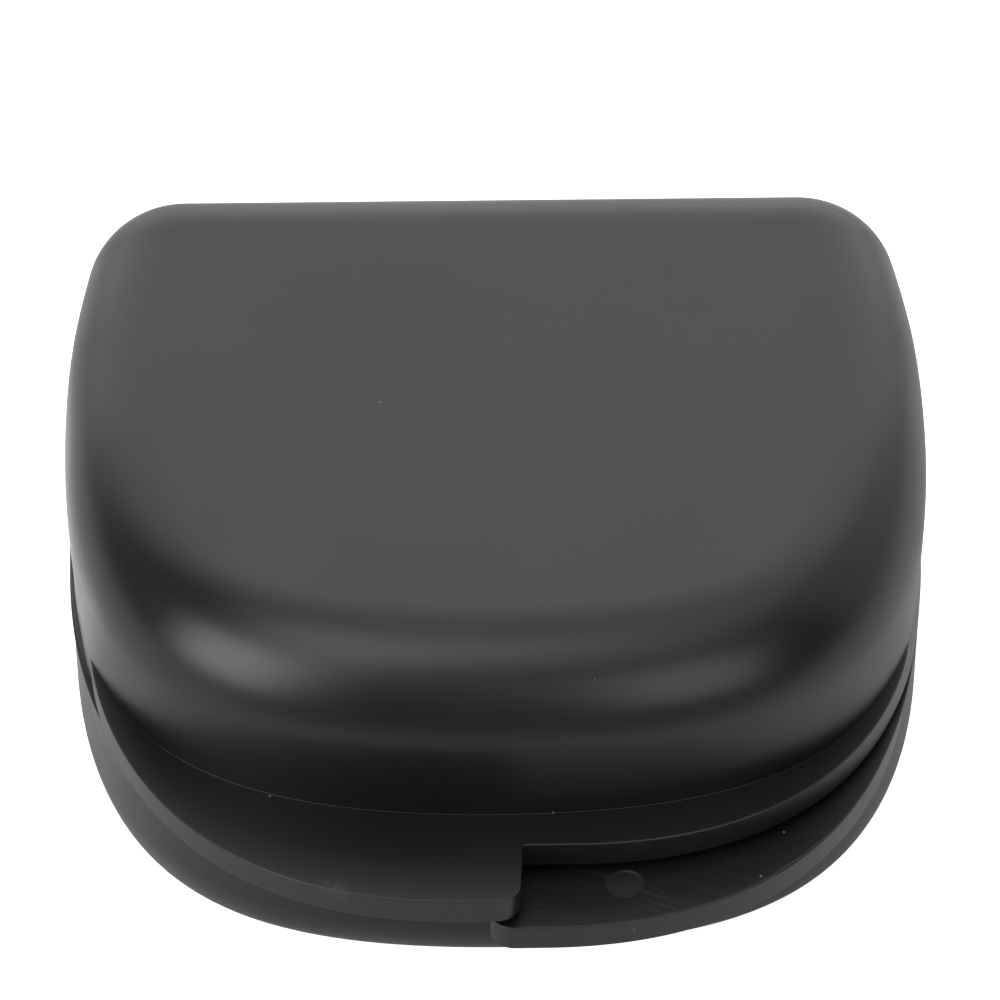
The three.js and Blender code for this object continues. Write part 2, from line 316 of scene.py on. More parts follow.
def bezier(points, count):
    """Points of a cubic: its four control points weighed by (1-t)^3, 3(1-t)^2 t, 3(1-t)t^2 and t^3."""
    t = np.linspace(0, 1, count)[:, None]
    weights = ((1 - t) ** 3, 3 * (1 - t) ** 2 * t, 3 * (1 - t) * t ** 2, t ** 3)
    return sum(weight * np.array(point, float) for weight, point in zip(weights, points))


def arc(centre, radius, start, end, count):
    """Points of an arc: the centre plus the radius times the cosine and sine of an even run of angles."""
    angle = np.linspace(start, end, count)
    return np.stack([centre[0] + radius * np.cos(angle), centre[1] + radius * np.sin(angle)], axis=1)


def join(*parts):
    """One row of points from several that meet end to start, with each shared point kept once."""
    return np.concatenate([parts[0]] + [part[1:] for part in parts[1:]])


def outward(directions):
    """Unit vectors a quarter turn clockwise from the directions of a loop that is drawn anticlockwise."""
    unit = directions / np.linalg.norm(directions, axis=1, keepdims=True)
    return np.stack([unit[:, 1], -unit[:, 0]], axis=1)


def along(points):
    """How far along a row of points each one lies: the running sum of the steps' lengths."""
    return np.concatenate([[0], np.cumsum(np.linalg.norm(np.diff(points, axis=0), axis=1))])


def at_places(place, length, plan, normals):
    """Points and unit normals at places along a plan, between its own points and normals in proportion."""
    on_plan, facing = (np.stack([np.interp(place, length, row[:, axis]) for axis in (0, 1)], axis=1)
                       for row in (plan, normals))
    return on_plan, facing / np.linalg.norm(facing, axis=1, keepdims=True)


def wall_front(s):
    """The right half of the wall's front, from the middle to the widest place: one cubic."""
    return bezier([
        (0, -s.front_reach), (FRONT_WIDTH_SHARE * s.wall_half_width, -s.front_reach),
        (s.wall_half_width, -FRONT_DEPTH_SHARE * s.front_reach), (s.wall_half_width, 0)], FINE_STEPS)


def wall_plan(s):
    """The wall's outline from the back middle round the left: two cubics, an arc and a flat, mirrored."""
    corner_half = s.wall_half_width - s.corner_inset
    centre = np.array([corner_half - s.corner_radius, s.back_reach - s.corner_radius])
    slant = np.array([-math.sin(s.corner_slant), math.cos(s.corner_slant)])
    start = centre + s.corner_radius * np.array([math.cos(s.corner_slant), math.sin(s.corner_slant)])
    side = bezier([
        (s.wall_half_width, 0), (s.wall_half_width, SIDE_START_SHARE * start[1]),
        start - slant * SIDE_END_SHARE * start[1], start], FINE_STEPS)
    corner = arc(centre, s.corner_radius, s.corner_slant, math.pi / 2, FINE_STEPS // 2)
    back = np.linspace((centre[0], s.back_reach), (0, s.back_reach), FINE_STEPS // 4)
    right = join(wall_front(s), side, corner, back)
    return join(right[::-1] * (-1, 1), right)


def front_edge(start, reach, straight, shares, s):
    """One front edge of the flange on the right: a straight, then a cubic that runs into the wall."""
    width_share, depth_share, start_share = shares
    wall = wall_front(s)
    at = round(start_share * (FINE_STEPS - 1))
    heading = wall[at + 1] - wall[at - 1]
    arm = heading / np.linalg.norm(heading) * depth_share * (reach + wall[at, 1])
    curve = bezier([
        (straight, -reach), (straight + width_share * s.wall_half_width, -reach),
        wall[at] - arm, wall[at]], FINE_STEPS)
    return join(np.linspace((start, -reach), (straight, -reach), FINE_STEPS // 20), curve)


def foot(points, plan, normals, length):
    """For each point: how far along the plan its nearest place lies, and how far outside it the point is."""
    nearest = np.argmin(((points[:, None] - plan[None]) ** 2).sum(axis=2), axis=1)
    low = np.clip(nearest - 1, 0, len(plan) - 3)
    span = plan[low + 2] - plan[low]
    share = ((points - plan[low]) * span).sum(axis=1) / (span ** 2).sum(axis=1)
    place = length[low] + np.clip(share, 0, 1) * (length[low + 2] - length[low])
    on_plan, facing = at_places(place, length, plan, normals)
    return place, ((points - on_plan) * facing).sum(axis=1)


def spaced(low, high, dense_low, dense_high, wide, fine):
    """Places from low to high at even steps, and at finer even steps between two places."""
    probe = np.linspace(low, high, PROBE_STEPS)
    step = np.where((probe > dense_low) & (probe < dense_high), fine, wide)
    turns = np.concatenate([[0], np.cumsum((high - low) / (PROBE_STEPS - 1) / step[1:])])
    return np.interp(np.linspace(0, turns[-1], int(turns[-1]) + 1), turns, probe)


def lip_end(s, end, narrow):
    """The thumb lip's end: its corner arc, a slanted straight and a hollow arc onto the narrow edge."""
    reach = s.front_reach + s.lip_overhang
    corner = arc((end - s.lip_corner, s.lip_corner - reach), s.lip_corner, -math.pi / 2, 0, CORNER_POINTS)
    root = end + math.tan(s.lip_end_slant) * (s.lip_overhang - s.narrow_overhang - s.lip_corner)
    narrow_y = np.interp(root + s.inner_corner, narrow[:, 0], narrow[:, 1])
    centre = (root + s.inner_corner, narrow_y - s.inner_corner)
    inner = arc(centre, s.inner_corner, math.pi, math.pi / 2, INNER_POINTS)
    return join(corner, np.linspace(corner[-1], inner[0], LIP_END_POINTS), inner)


def groove_ends(s):
    """How far from the middle line the catch groove starts and ends: the bead's ends and the play."""
    return s.catch_start - GROOVE_PLAY, s.catch_start + s.catch_length + GROOVE_PLAY


def lip_places(s, stop, mark_place, plan, normals, length):
    """Places of the columns from the back middle to the lip's end, finer at the round mark.

    Two columns stand close together at each end of the catch groove, so that it ends sharply.
    """
    room = MARK_COLUMNS_SHARE * s.mark_radius
    places = spaced(0, stop, mark_place - room, mark_place + room, COLUMN_STEP, MARK_STEP)[:-1]
    inside = (plan - normals * s.wall)[:, 0]
    second_quarter = (length > 0.25 * length[-1]) & (length < 0.5 * length[-1])
    near_end, far_end = groove_ends(s)
    stops = np.interp([-far_end, -near_end], inside[second_quarter], length[second_quarter])
    places = places[np.abs(places[:, None] - stops).min(axis=1) > STOP_ROOM]
    return np.sort(np.concatenate([places, stops - STOP_GAP, stops + STOP_GAP]))


def columns(s, end, lip_shares):
    """Where each column of the skin stands.

    These are its foot on the wall, the wall's normal, the flange's edge and that edge's normal,
    then how much further out the edge is at the parting, and last how far along the lip's
    underside, as a share from its edge, the round mark lies.
    """
    plan = wall_plan(s)
    length = along(plan)
    normals = outward(np.gradient(plan, axis=0))
    lip_reach = s.front_reach + s.lip_overhang
    narrow, narrow_low = (
        front_edge(0, s.front_reach + s.narrow_overhang, s.narrow_straight, shares, s)
        for shares in (NARROW_OUTER, NARROW_PARTING))
    lip, lip_low = (front_edge(s.lip_corner - end, lip_reach, s.lip_straight, shares, s) * (-1, 1)
                    for shares in lip_shares)
    lip_feet, lip_low_feet = (foot(row[::-1], plan, normals, length) for row in (lip, lip_low))
    narrow_feet, narrow_low_feet = (foot(row, plan, normals, length) for row in (narrow, narrow_low))
    step_edge = lip_end(s, end, narrow)
    step_place, _ = foot(step_edge, plan, normals, length)
    mark = np.array([[-s.mark_from_middle, s.mark_from_front - lip_reach]])
    mark_place, mark_out = foot(mark, plan, normals, length)
    left = lip_places(s, step_place[0], mark_place[0], plan, normals, length)
    steps = int((length[-1] - step_place[-1]) / COLUMN_STEP) + 1
    right = np.linspace(step_place[-1], length[-1], steps)[1:-1]
    place = np.concatenate([left, np.linspace(step_place[0], step_place[-1], len(step_place)), right])
    wall, normal = at_places(place, length, plan, normals)
    left_out, left_low = (np.maximum(np.interp(left, *feet, left=0), LEAST_LEDGE)
                          for feet in (lip_feet, lip_low_feet))
    right_out, right_low = (np.maximum(np.interp(right, *feet, right=0), LEAST_LEDGE)
                            for feet in (narrow_feet, narrow_low_feet))
    flare = np.concatenate([left_low - left_out, np.zeros(len(step_edge)), right_low - right_out])
    flare = np.maximum(flare, 0)
    edge = np.concatenate([
        wall[:len(left)] + normal[:len(left)] * left_out[:, None],
        step_edge,
        wall[-len(right):] + normal[-len(right):] * right_out[:, None]])
    edge_normal = outward(np.roll(edge, -1, axis=0) - np.roll(edge, 1, axis=0))
    mark_share = 1 - mark_out[0] / np.interp(mark_place[0], left, np.maximum(left_low, left_out))
    return wall, normal, edge, edge_normal, flare, mark_share


# Surfaces


def smooth_step(value, low, high):
    """Zero below low, one above high, and a soft S between: t*t*(3-2t)."""
    t = np.clip((value - low) / (high - low), 0, 1)
    return t * t * (3 - 2 * t)


def quarter_turn(count):
    """Even angles from nothing to a quarter turn."""
    return np.linspace(0, math.pi / 2, count)


class Skin:
    """Rows of one half's closed skin, with where it faces the other half and where its edges are.

    A row is one loop round the case. On the domes it is the wall's outline moved in along its
    normals by a straight draft and then a quarter circle. On the flange it is the flange's edge
    moved in along its own normals, with quarter circles over the edges.
    """

    def __init__(self, s, end, lip_shares, flash):
        self.s = s
        self.wall, self.normal, self.edge, self.edge_normal, self.flare, self.mark_share = columns(
            s, end, lip_shares)
        towards_front = smooth_step(-self.wall[:, 1], 0, FRONT_FADE)
        overhang = np.linalg.norm(self.edge - self.wall, axis=1)
        self.lean = math.tan(s.draft) * (1 - towards_front)
        self.fillet_gain = s.front_fillet_gain * towards_front
        self.flange_top = s.flange_level + s.flange_thickness
        self.edge_round = np.minimum(s.edge_round, ROUND_SHARE * overhang)
        self.root_round = np.minimum(s.root_round, ROUND_SHARE * overhang)
        self.parting_round = np.minimum(
            s.parting_round + flash(self.edge), ROUND_SHARE * (overhang + self.flare))
        self.spread = LEDGE_SPREAD * (1 - smooth_step(overhang, LEAST_LEDGE, FULL_LEDGE))
        self.rows, self.parting, self.worn = [], [], []

    def add(self, xy, level, facing=0, wear=0):
        """Lays one row at places and a level, with how far it faces the other half and is worn."""
        count = len(self.wall)
        self.rows.append(np.column_stack([xy, np.broadcast_to(level, count)]))
        self.parting.append(np.broadcast_to(facing, count))
        self.worn.append(np.broadcast_to(wear, count))

    def wall_place(self, inset):
        """The wall's outline moved in along its normals."""
        return self.wall - self.normal * np.broadcast_to(inset, len(self.wall))[:, None]

    def ring(self, inset, level):
        """Lays one row on the wall's outline moved in."""
        self.add(self.wall_place(inset), level)

    def rim_place(self, inward, level):
        """The flange's edge at a level, moved in along its normals."""
        lean_out = self.flare * np.clip((self.flange_top - level) / self.s.flange_thickness, 0, 1)
        inward = np.broadcast_to(inward, len(self.wall))[:, None]
        return self.edge + self.normal * lean_out[:, None] - self.edge_normal * inward

    def rim(self, inward, level, wear=0):
        """Lays one row on the flange's edge moved in."""
        self.add(self.rim_place(inward, level), level, wear=wear)

    def dome(self, inner, gain):
        """The level where a dome leaves the wall, and its insets and levels from the roof to there."""
        roof = self.s.depth - inner
        radius = self.s.roof_fillet + gain - inner
        spring = roof - radius
        spring_inset = inner + self.lean * (spring - self.s.rim_level)
        return spring, [(spring_inset + radius * (1 - math.cos(a)), spring + radius * math.sin(a))
                        for a in np.linspace(math.pi / 2, 0, FILLET_ROWS)]

    def cap(self, inset, level, shares):
        """Lays the rows of a flat face: the wall's outline moved in, then shrunk towards its middle."""
        flat = self.wall_place(inset)
        middle = np.array([0, (flat[:, 1].min() + flat[:, 1].max()) / 2])
        for share in shares:
            self.add(middle + (flat - middle) * share, level)


def lay_outside(skin, s):
    """The outside, from the roof's middle down the wall to the end of the hollow at its foot."""
    spring, outer = skin.dome(0, skin.fillet_gain)
    skin.cap(outer[0][0], s.depth, CAP_SHARES)
    for inset, level in outer:
        skin.ring(inset, level)
    foot_level = skin.flange_top + skin.root_round
    for share in (*np.linspace(0, 0.99, WALL_ROWS)[1:], 1):
        level = spring + (foot_level - spring) * share
        skin.ring(skin.lean * (level - s.rim_level), level)
    foot_inset = skin.lean * (foot_level - s.rim_level)
    for turn in quarter_turn(ROUND_ROWS)[1:]:
        level = skin.flange_top + skin.root_round * (1 - math.sin(turn))
        skin.ring(foot_inset - skin.root_round * (1 - math.cos(turn)), level)


def lay_flange(skin, s):
    """The flange's top and its edge, rounded above and below."""
    start = skin.rows[-1][:, :2]
    shoulder = skin.flange_top - skin.spread
    stop = skin.rim_place(skin.edge_round, shoulder)
    for share in FLANGE_SHARES:
        skin.add(start + (stop - start) * share, skin.flange_top - skin.spread * share)
    turns = quarter_turn(ROUND_ROWS)
    for turn in turns[1:]:
        level = shoulder - skin.edge_round * (1 - math.cos(turn))
        skin.rim(skin.edge_round * (1 - math.sin(turn)), level, wear=1)
    skin.rim(0, shoulder - skin.edge_round - HOLD)
    skin.rim(0, s.flange_level + skin.parting_round + HOLD)
    for turn in turns:
        level = s.flange_level + skin.parting_round * (1 - math.sin(turn))
        skin.rim(skin.parting_round * (1 - math.cos(turn)), level, wear=1)


def lay_parting_face(skin, s):
    """The flange's underside, from its edge to the wall, with the round mark that sinks to one side."""
    start = skin.rows[-1][:, :2]
    mark = np.array([-s.mark_from_middle, s.mark_from_front - s.front_reach - s.lip_overhang])
    mark_room = MARK_ROWS_SHARE * s.mark_radius / s.lip_overhang
    over_mark = np.linspace(skin.mark_share - mark_room, skin.mark_share + mark_room, MARK_ROWS)
    shares = np.concatenate([[0.02, over_mark[0] / 2], over_mark, [(1 + over_mark[-1]) / 2, 0.98, 1]])
    for share in shares:
        xy = start + (skin.wall - start) * share
        away = np.linalg.norm(xy - mark, axis=1)
        recess = 1 - smooth_step(away, s.mark_radius - MARK_STEP, s.mark_radius + MARK_STEP / 2)
        lean_back = 0.5 + 0.5 * ((xy - mark) @ MARK_LEAN) / s.mark_radius
        skin.add(xy, s.flange_level + s.mark_depth * recess * lean_back, facing=1 + recess)


def lay_rim_and_inside(skin, s):
    """The rim, the inner wall with the catch groove, and the inner floor to its middle."""
    rim_round = RIM_ROUND_SHARE * (s.flange_level - s.rim_level)
    turns = quarter_turn(RIM_ROWS)
    for turn in turns:
        skin.ring(rim_round * (1 - math.cos(turn)), s.rim_level + rim_round * (1 - math.sin(turn)))
    skin.ring(s.wall / 2, s.rim_level)
    for turn in turns:
        level = s.rim_level + rim_round * (1 - math.cos(turn))
        skin.ring(s.wall - rim_round * (1 - math.sin(turn)), level)
    inner_x = (skin.wall - skin.normal * s.wall)[:, 0]
    near_end, far_end = groove_ends(s)
    in_groove = (inner_x < -near_end) & (inner_x > -far_end) & (skin.wall[:, 1] < 0)
    spring, inner = skin.dome(s.wall, 0)
    above = np.linspace(s.catch_level + 2 * GROOVE_HALF, spring, 5)
    for level in np.concatenate([s.catch_level + GROOVE_SHARES * GROOVE_HALF, above]):
        cut = max(0, 1 - abs(level - s.catch_level) / GROOVE_HALF) * GROOVE_DEPTH
        skin.ring(s.wall + skin.lean * (level - s.rim_level) - in_groove * cut, level)
    for inset, level in inner[::-1][1:]:
        skin.ring(inset, level)
    skin.cap(inner[0][0], s.depth - s.wall, CAP_SHARES[::-1])


def shell_skin(s, end, lip_shares, flash):
    """Rows and columns of one half's closed skin, and its two masks, from roof over flange to floor.

    A row close to each end of a quarter circle keeps the shading of the faces beside it even.
    """
    skin = Skin(s, end, lip_shares, flash)
    for lay in (lay_outside, lay_flange, lay_parting_face, lay_rim_and_inside):
        lay(skin, s)
    return np.array(skin.rows), np.array(skin.parting, float), np.array(skin.worn, float)


def closed_grid(rows):
    """Points and faces of a closed skin, from rows of points whose first and last rows are poles."""
    count = rows.shape[1]
    points = np.concatenate([rows[0, :1], rows[1:-1].reshape(-1, 3), rows[-1, :1]])
    ring = np.arange(count)
    after = np.roll(ring, -1)
    base = 1 + np.arange(rows.shape[0] - 3)[:, None] * count
    quads = np.stack([base + ring, base + count + ring, base + count + after, base + after], axis=2)
    last = 1 + (rows.shape[0] - 3) * count
    first_fan = np.stack([np.zeros(count, int), 1 + ring, 1 + after], axis=1)
    last_fan = np.stack([last + after, last + ring, np.full(count, len(points) - 1)], axis=1)
    return points, quads.reshape(-1, 4).tolist() + first_fan.tolist() + last_fan.tolist()


def grid_values(values):
    """One value for each point of a closed skin, from values laid out as its rows and columns."""
    return np.concatenate([values[0, :1], values[1:-1].ravel(), values[-1, :1]])


def swept(profiles):
    """Points and faces of a closed bar: a loop of points for each station along it, and two flat ends."""
    stations, count = profiles.shape[:2]
    points = profiles.reshape(-1, 3)
    ring = np.arange(count)
    after = np.roll(ring, -1)
    base = np.arange(stations - 1)[:, None] * count
    quads = np.stack([base + ring, base + after, base + count + after, base + count + ring], axis=2)
    faces = quads.reshape(-1, 4).tolist()
    return points, faces + [ring[::-1].tolist(), (ring + (stations - 1) * count).tolist()]


def tongue_blade(s):
    """The tongue inside the front quarter: a hooked profile carried along the wall's outline.

    The catch bead on it is a ridge whose height falls off evenly from its middle line.
    """
    plan = wall_plan(s)
    normals = outward(np.gradient(plan, axis=0))
    outer = s.wall + TONGUE_CLEARANCE
    inner = outer + s.tongue_thickness
    inside = plan - normals * outer
    run = np.flatnonzero((inside[:, 0] >= s.catch_start) & (inside[:, 1] <= TONGUE_END_DEPTH))
    length = along(plan[run])
    bead_stop = np.interp(s.catch_start + s.catch_length, inside[run, 0], length)
    tip = TONGUE_TIP
    on_bead_run = np.linspace(BEAD_RUN_START, bead_stop - STOP_GAP, BEAD_STATIONS)
    past_bead_run = np.linspace(bead_stop + BLADE_RUN_START, length[-1] - tip[-1], BLADE_STATIONS)
    stops = np.unique(np.concatenate([
        tip, on_bead_run, [bead_stop + STOP_GAP], past_bead_run, length[-1] - tip[1::-1]]))
    place, normal = (np.stack([np.interp(stops, length, row[run][:, axis]) for axis in (0, 1)], axis=1)
                     for row in (plan, normals))
    low = -s.tongue_height
    soft, bend = TONGUE_ROUND, TONGUE_BEND
    turns = quarter_turn(TONGUE_ROWS)
    root_low = s.rim_level + TONGUE_LIFT
    root_top = s.rim_level + TONGUE_ROOT
    elbow = root_top - s.tongue_thickness
    profile = [(s.wall - TONGUE_SUNK, root_low), (outer, root_low)]
    profile += [(outer, -s.catch_level + BEAD_HALF * share) for share in BEAD_SHARES]
    profile += [(outer + soft * (1 - math.cos(a)), low + soft * (1 - math.sin(a))) for a in turns]
    profile += [(inner - soft * (1 - math.sin(a)), low + soft * (1 - math.cos(a))) for a in turns]
    profile += [(inner, elbow - soft), (inner - bend, elbow + bend)]
    profile += [(s.wall + TONGUE_LEDGE, root_top), (s.wall - TONGUE_SUNK, root_top)]
    profile = np.array(profile)
    on_bead = (stops <= bead_stop)[:, None] * (profile[:, 0] == outer) * (profile[:, 1] < 0)
    rise = np.clip(BEAD_HALF - np.abs(profile[:, 1] + s.catch_level), 0, None)
    fade = np.minimum(np.minimum(stops, length[-1] - stops) / tip[-1], 1)[:, None]
    ends = np.where(profile[:, 0] > s.wall, TONGUE_DRAWN * (1 - fade), 0)
    inset = profile[:, 0] - on_bead * rise + np.where(profile[:, 0] > (inner + outer) / 2, -1, 1) * ends
    xy = place[:, None] - normal[:, None] * inset[..., None]
    level = np.broadcast_to(profile[:, 1], inset.shape)
    return swept(np.concatenate([xy, level[..., None]], axis=2))


def barrel_outline(s):
    """A hinge plate from the side: hinge line, root on the back wall, web top, the barrel's two angles."""
    hinge = HINGE_REACH
    root = s.back_reach - s.wall / 2
    top = s.rim_level + HINGE_WEB
    to_web = complex(root - hinge, top)
    tangent = math.atan2(to_web.imag, to_web.real) - math.acos(s.barrel_radius / abs(to_web))
    start = math.pi - math.asin(s.rim_level / s.barrel_radius)
    return hinge, root, top, start, 2 * math.pi + tangent


def across(profile, low, high):
    """A bar along the width: one front-to-back profile at each station, drawn in at both ends."""
    turns = quarter_turn(PLATE_ROWS)
    drawn, short = (PLATE_ROUND * (1 - wave(turns)) for wave in (np.sin, np.cos))
    drawn = np.concatenate([drawn, drawn[::-1]])
    x = np.concatenate([low + short, high - short[::-1]])
    ahead = np.roll(profile, -1, axis=0) - profile
    behind = profile - np.roll(profile, 1, axis=0)
    first, second = outward(behind), outward(ahead)
    bisector = (first + second) / (1 + (first * second).sum(axis=1, keepdims=True))
    shifted = profile[None] - bisector[None] * drawn[:, None, None]
    places = np.broadcast_to(x[:, None, None], (len(x), len(profile), 1))
    return swept(np.concatenate([places, shifted], axis=2))


def cheek(s, low, high):
    """One plate of the fork, with its barrel closed."""
    hinge, root, top, start, end = barrel_outline(s)
    barrel = arc((hinge, 0), s.barrel_radius, start, end, BARREL_POINTS)
    return across(np.concatenate([[(root, top), (root, s.rim_level)], barrel]), low, high)


def hook_claw(s):
    """The snap hook: a barrel round an open bore, whose mouth flares towards the other half."""
    hinge, root, top, start, end = barrel_outline(s)
    bore = s.bar_radius + BAR_PLAY
    down = 1.5 * math.pi

    def opening(radius):
        run = math.sqrt(radius ** 2 * (1 + MOUTH_FLARE ** 2) - MOUTH_HALF ** 2)
        fall = (-MOUTH_FLARE * MOUTH_HALF + run) / (1 + MOUTH_FLARE ** 2)
        return math.asin((MOUTH_HALF + MOUTH_FLARE * fall) / radius)

    profile = np.concatenate([
        [(root, top), (root, s.rim_level)],
        arc((hinge, 0), s.barrel_radius, start, down - opening(s.barrel_radius), HOOK_BACK_POINTS),
        arc((hinge, 0), bore, down - opening(bore), opening(bore) - math.pi / 2, BORE_POINTS),
        arc((hinge, 0), s.barrel_radius, down + opening(s.barrel_radius), end, HOOK_FRONT_POINTS)])
    return across(profile, s.hook_spacing - s.hook_width / 2, s.hook_spacing + s.hook_width / 2)


def hinge_bar(s):
    """The bar across the fork: a circle carried along the width, its ends inside the cheeks."""
    half = s.hook_width / 2 + FORK_PLAY + s.cheek_thickness / 2
    profile = arc((HINGE_REACH, 0), s.bar_radius, 0, 2 * math.pi, BAR_POINTS + 1)[:-1]
    return across(profile, -s.hook_spacing - half, -s.hook_spacing + half)


def floor_marks(s):
    """The pin marks on the inner floor: a low profile with a proud rim, carried round four centres."""
    radius = s.mark_radius + FLOOR_MARK_STEPS
    angle = np.linspace(0, 2 * math.pi, MARK_POINTS + 1)[:-1]
    level = s.depth - s.wall - FLOOR_MARK_RISES
    rows = np.stack([
        np.cos(angle) * radius[:, None], np.sin(angle) * radius[:, None],
        np.broadcast_to(level[:, None], (len(radius), len(angle)))], axis=2)
    points, faces = closed_grid(np.concatenate([rows[:1] * (0, 0, 1), rows, rows[-1:] * (0, 0, 1)]))
    across_floor, along_floor = FLOOR_MARK_PLACE
    centres = [(x * across_floor, y * along_floor, 0) for x in (-1, 1) for y in (-1, 1)]
    spread = np.concatenate([points + centre for centre in centres])
    return spread, [[i + k * len(points) for i in face] for k in range(4) for face in faces]


# Setting the moulding down


def as_lid(points):
    """The moulding set down as the lid: shifted onto the case's hinge line."""
    return points + (0, HINGE_DEPTH - HINGE_REACH, PARTING_LEVEL)


def as_base(points):
    """The moulding set down as the base: half a turn about the front-to-back line, then the lid's shift."""
    return as_lid(points * (-1, 1, -1))


HALVES = (("lid", as_lid), ("base", as_base))


def make_piece(name, body, surface, material, masks=None, sharp=None):
    """One finished piece from its points and faces, riding on its body and dressed in its material."""
    points, faces = surface
    mesh = bpy.data.meshes.new(name)
    mesh.from_pydata(points.tolist(), [], faces)
    mesh.polygons.foreach_set("use_smooth", np.ones(len(faces), bool))
    for mask, values in (masks or {}).items():
        mesh.attributes.new(mask, "FLOAT", "POINT").data.foreach_set("value", values.astype(np.float32))
    mesh.update()
    if sharp is not None:
        mesh.set_sharp_from_angle(angle=sharp)
    mesh.materials.append(material)
    piece = bpy.data.objects.new(name, mesh)
    bpy.context.scene.collection.objects.link(piece)
    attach(piece, body)
    return piece


# Materials

# Places on the closed case of its single specks, and how far each reaches
LONE_SPECKS = np.array([
    (-10.53, 3.4, 39.6), (-8.86, -28.14, 38.12), (8.1, -29.83, 36.7), (-3.99, -32.29, 27.97),
    (1.1, -32.41, 26), (-20.56, -29.98, 22.85), (13.83, -27.17, 38.28), (25.39, -23.41, 37.73),
    (4.47, -32.43, 22.93), (22.74, -37.1, 19.35), (25.04, -31.77, 19.35), (11.4, -42.33, 18.3)]) * MM
SPECK_REACH = 0.15 * MM

# The place, reach and strength of each scuff, and the direction of its streaks
SCUFFS = (
    (np.array((-15.3, -41.8, 22.4)) * MM, 2 * MM, 2.2),
    (np.array((11.4, -36.2, 21.6)) * MM, 1.7 * MM, 0.5))
SCUFF_ANGLE = math.radians(-62)

# The wiping scratches' direction, and the long scratch across the base's lip
WIPING_ANGLE = math.radians(27)
SCRATCH_PLACE = np.array((11.35, -38.12, 19.35)) * MM
SCRATCH_ANGLE = math.radians(27.5)
SCRATCH_HALF_WIDTH = 0.3 * MM
SCRATCH_HALF_LENGTH = 5.5 * MM

# How far edges, wiped places and the round mark go from plain to worn plastic
EDGE_WEAR, WIPED_WEAR, MARK_WEAR = 0.04, 0.1, 0.12

# What patches, parting faces, wear and dust do to the roughness
PATCH_ROUGH, PARTING_GLOSS, WORN_ROUGH, DUST_ROUGH = 0.05, 0.03, 0.8, 0.4

# Height of the grain, and the scratches' and the dust's heights as multiples of it
GRAIN_HEIGHT = 0.004 * MM
SCRATCH_HEIGHT, DUST_HEIGHT = 0.7, 4.0


def new_group(name, inputs, output):
    """An empty shader group: what it is given, and a function that puts out the value it is handed."""
    group = bpy.data.node_groups.new(name, "ShaderNodeTree")
    for label, default in {"Vector": None, **inputs}.items():
        kind = "NodeSocketVector" if default is None else "NodeSocketFloat"
        socket = group.interface.new_socket(label, in_out="INPUT", socket_type=kind)
        if default is not None:
            socket.default_value = default
    group.interface.new_socket(output, in_out="OUTPUT", socket_type="NodeSocketFloat")
    given = group.nodes.new("NodeGroupInput").outputs
    result = group.nodes.new("NodeGroupOutput").inputs[output]

    def put_out(value):
        group.links.new(value, result)
        return group

    return group, given, put_out


def add_node(tree, kind, links=(), **settings):
    """A node of the given kind with its settings, and its inputs linked to outputs or set to values."""
    made = tree.nodes.new(kind)
    for key, value in settings.items():
        setattr(made, key, value)
    for socket, source in dict(links).items():
        if isinstance(source, bpy.types.NodeSocket):
            tree.links.new(source, made.inputs[socket])
        else:
            made.inputs[socket].default_value = source
    return made


def calculate(tree, operation, first, second=0.0, clamp=False):
    """The output of one Math node."""
    made = add_node(tree, "ShaderNodeMath", {0: first, 1: second}, operation=operation, use_clamp=clamp)
    return made.outputs[0]


def times(tree, first, second):
    """One value times another."""
    return calculate(tree, "MULTIPLY", first, second)


def weighed(tree, start, terms, clamp=False):
    """A start value plus each term's value times its weight, held between zero and one if clamped."""
    for count, (value, weight) in enumerate(terms, 1):
        last = clamp and count == len(terms)
        start = calculate(tree, "ADD", start, times(tree, value, weight), clamp=last)
    return start


def eased(tree, value, low, high, to_low=0.0, to_high=1.0):
    """A value carried smoothly from one range to another."""
    return add_node(tree, "ShaderNodeMapRange", {
        "Value": value, "From Min": low, "From Max": high, "To Min": to_low, "To Max": to_high},
        interpolation_type="SMOOTHSTEP").outputs["Result"]


def noise(tree, vector, scale, detail, roughness=0.5):
    """The value of one Noise Texture node."""
    made = add_node(tree, "ShaderNodeTexNoise", {
        "Vector": vector, "Scale": scale, "Detail": detail, "Roughness": roughness})
    return made.outputs[0]


def grain_group(name):
    """Fine even pits of the tool's surface, as a height."""
    group, given, put_out = new_group(name, {"Scale": 6000.0}, "Height")
    return put_out(noise(group, given["Vector"], given["Scale"], 2.0, 0.6))


def satin_group(name):
    """Broad soft patches where handling has changed the gloss a little."""
    group, given, put_out = new_group(name, {"Scale": 60.0}, "Value")
    broad = noise(group, given["Vector"], given["Scale"], 3.0, 0.55)
    return put_out(eased(group, broad, 0.3, 0.7))


def dust_group(name):
    """Small round specks in a few of the cells of a cell pattern, each of its own size."""
    group, given, put_out = new_group(name, {"Scale": 300.0, "Share": 0.1, "Size": 0.05}, "Mask")
    cells = add_node(group, "ShaderNodeTexVoronoi", {"Vector": given["Vector"], "Scale": given["Scale"]})
    draws = add_node(group, "ShaderNodeSeparateColor", {"Color": cells.outputs["Color"]}).outputs
    there = calculate(group, "LESS_THAN", draws[0], given["Share"])
    reach = times(group, given["Size"], eased(group, draws[1], 0.0, 1.0, 0.4, 1.0))
    near = calculate(group, "LESS_THAN", cells.outputs["Distance"], reach)
    return put_out(times(group, there, near))


def turned_about(tree, vector, angle, centre=(0, 0, 0)):
    """A vector turned about the upright line through a centre."""
    made = add_node(tree, "ShaderNodeVectorRotate", {
        "Vector": vector, "Angle": angle, "Center": centre}, rotation_type="Z_AXIS")
    return made.outputs[0]


